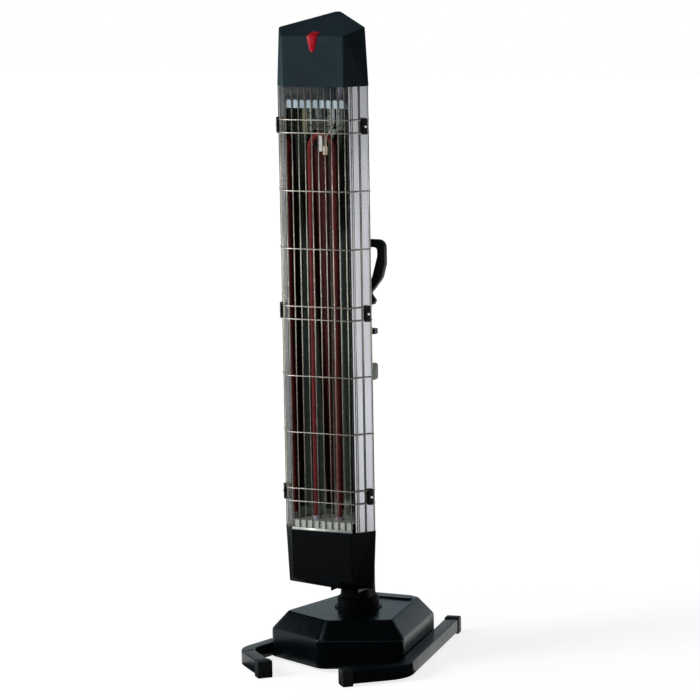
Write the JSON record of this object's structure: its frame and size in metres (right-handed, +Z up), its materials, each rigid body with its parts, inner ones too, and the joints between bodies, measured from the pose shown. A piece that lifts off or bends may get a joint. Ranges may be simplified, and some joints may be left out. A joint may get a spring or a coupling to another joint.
{
  "type": "infrared heater tower",
  "caption": "Free-standing infrared heater tower: hairpin element in a faceted reflector behind a wire guard, on a swivelling column over a weighted base with two bent foot tubes.",
  "frame": {"origin": "on the floor under the swivel axis, which is the middle of the footprint", "axes": "+Z up along the swivel axis, -Y towards the front that radiates, +X to the right seen from the front"},
  "size_m": [0.4056, 0.5746, 1.429],
  "materials": {
    "top_cap": "satin graphite",
    "bottom_cap": "satin black",
    "pilot_lens": "translucent red",
    "roof_screw": "bright",
    "body_shell": "bright sheet",
    "reflector": "polished",
    "top_end_plate": "bright sheet",
    "bottom_end_plate": "bright sheet",
    "heating_element": "oxidised red sheath",
    "element_collar_left": "glazed grey",
    "element_collar_right": "glazed grey",
    "terminal_block": "moulded phenolic",
    "element_clamp": "matt white",
    "hanger_strap_left": "khaki passivated",
    "hanger_strap_right": "bright",
    "thermal_cutout": "cream",
    "hook_rod": "plain",
    "wire_guard": "bright plated wire",
    "guard_clip_low_right": "black",
    "guard_clip_screw_low_right": "bright",
    "guard_clip_middle_right": "black",
    "guard_clip_screw_middle_right": "bright",
    "guard_clip_high_right": "black",
    "guard_clip_screw_high_right": "bright",
    "guard_clip_low_left": "black",
    "guard_clip_screw_low_left": "bright",
    "guard_clip_middle_left": "black",
    "guard_clip_screw_middle_left": "bright",
    "guard_clip_high_left": "black",
    "guard_clip_screw_high_left": "bright",
    "rear_column": "satin black",
    "column_lid": "satin black",
    "head_bracket_low": "plain",
    "head_bracket_high": "plain",
    "swivel_post": "plain",
    "swivel_bearing": "as cast",
    "swivel_flange": "satin black",
    "neck_collar": "satin black",
    "carry_handle": "satin black",
    "rotary_switch": "moulded phenolic",
    "power_knob": "satin black",
    "power_switch": "satin black",
    "power_rocker": "red",
    "drip_cover": "translucent pale",
    "base_cover": "gloss black",
    "cord_gland": "black",
    "foot_tube_left": "gloss black",
    "boot_front_left": "black",
    "boot_rear_left": "black",
    "foot_tube_right": "gloss black",
    "boot_front_right": "black",
    "boot_rear_right": "black",
    "cross_bar_front": "gloss black",
    "cross_bar_rear": "gloss black",
    "base_plate": "plain",
    "plate_bolt_left": "plain",
    "plate_bolt_right": "plain",
    "ballast_block": "as cast",
    "tip_over_switch": "moulded phenolic",
    "tip_over_plunger": "natural"
  },
  "bodies": {
    "base": {"foot_tube_left": "foot_tube_left", "foot_tube_right": "foot_tube_right", "boot_front_left": "boot_front_left", "boot_front_right": "boot_front_right", "boot_rear_left": "boot_rear_left", "boot_rear_right": "boot_rear_right", "cross_bar_front": "cross_bar_front", "cross_bar_rear": "cross_bar_rear", "base_plate": "base_plate", "plate_bolt_left": "plate_bolt_left", "plate_bolt_right": "plate_bolt_right", "ballast_block": "ballast_block", "base_cover": "base_cover", "cord_gland": "cord_gland", "swivel_flange": "swivel_flange", "swivel_bearing": "swivel_bearing", "tip_over_switch": "tip_over_switch"},
    "tower": {"top_cap": "top_cap", "bottom_cap": "bottom_cap", "pilot_lens": "pilot_lens", "roof_screw": "roof_screw", "body_shell": "body_shell", "reflector": "reflector", "top_end_plate": "top_end_plate", "bottom_end_plate": "bottom_end_plate", "heating_element": "heating_element", "element_collar_left": "element_collar_left", "element_collar_right": "element_collar_right", "terminal_block": "terminal_block", "element_clamp": "element_clamp", "hanger_strap_left": "hanger_strap_left", "hanger_strap_right": "hanger_strap_right", "thermal_cutout": "thermal_cutout", "hook_rod": "hook_rod", "wire_guard": "wire_guard", "guard_clip_low_right": "guard_clip_low_right", "guard_clip_screw_low_right": "guard_clip_screw_low_right", "guard_clip_middle_right": "guard_clip_middle_right", "guard_clip_screw_middle_right": "guard_clip_screw_middle_right", "guard_clip_high_right": "guard_clip_high_right", "guard_clip_screw_high_right": "guard_clip_screw_high_right", "guard_clip_low_left": "guard_clip_low_left", "guard_clip_screw_low_left": "guard_clip_screw_low_left", "guard_clip_middle_left": "guard_clip_middle_left", "guard_clip_screw_middle_left": "guard_clip_screw_middle_left", "guard_clip_high_left": "guard_clip_high_left", "guard_clip_screw_high_left": "guard_clip_screw_high_left", "rear_column": "rear_column", "column_lid": "column_lid", "head_bracket_low": "head_bracket_low", "head_bracket_high": "head_bracket_high", "swivel_post": "swivel_post", "neck_collar": "neck_collar", "carry_handle": "carry_handle", "rotary_switch": "rotary_switch", "power_switch": "power_switch", "drip_cover": "drip_cover"},
    "tip_plunger": {"tip_over_plunger": "tip_over_plunger"},
    "knob": {"power_knob": "power_knob"},
    "rocker": {"power_rocker": "power_rocker"}
  },
  "joints": [
    {"name": "tower_swivel", "type": "hinge", "parent": "base", "child": "tower", "pos_m": [0, 0, 0.1], "axis": [0, 0, 1], "range_deg": [-35, 35]},
    {"name": "power_knob_turn", "type": "hinge", "parent": "tower", "child": "knob", "pos_m": [0.0345, 0, 0.7297], "axis": [1, 0, 0], "range_deg": [0, 180]},
    {"name": "power_rocker_tilt", "type": "hinge", "parent": "tower", "child": "rocker", "pos_m": [0.0257, 0, 0.6405], "axis": [0, 1, 0], "range_deg": [0, 16]},
    {"name": "tip_plunger_slide", "type": "slide", "parent": "base", "child": "tip_plunger", "axis": [0, 0, 1], "range_m": [0, 0.006], "stiffness_N_per_m": 200}
  ]
}
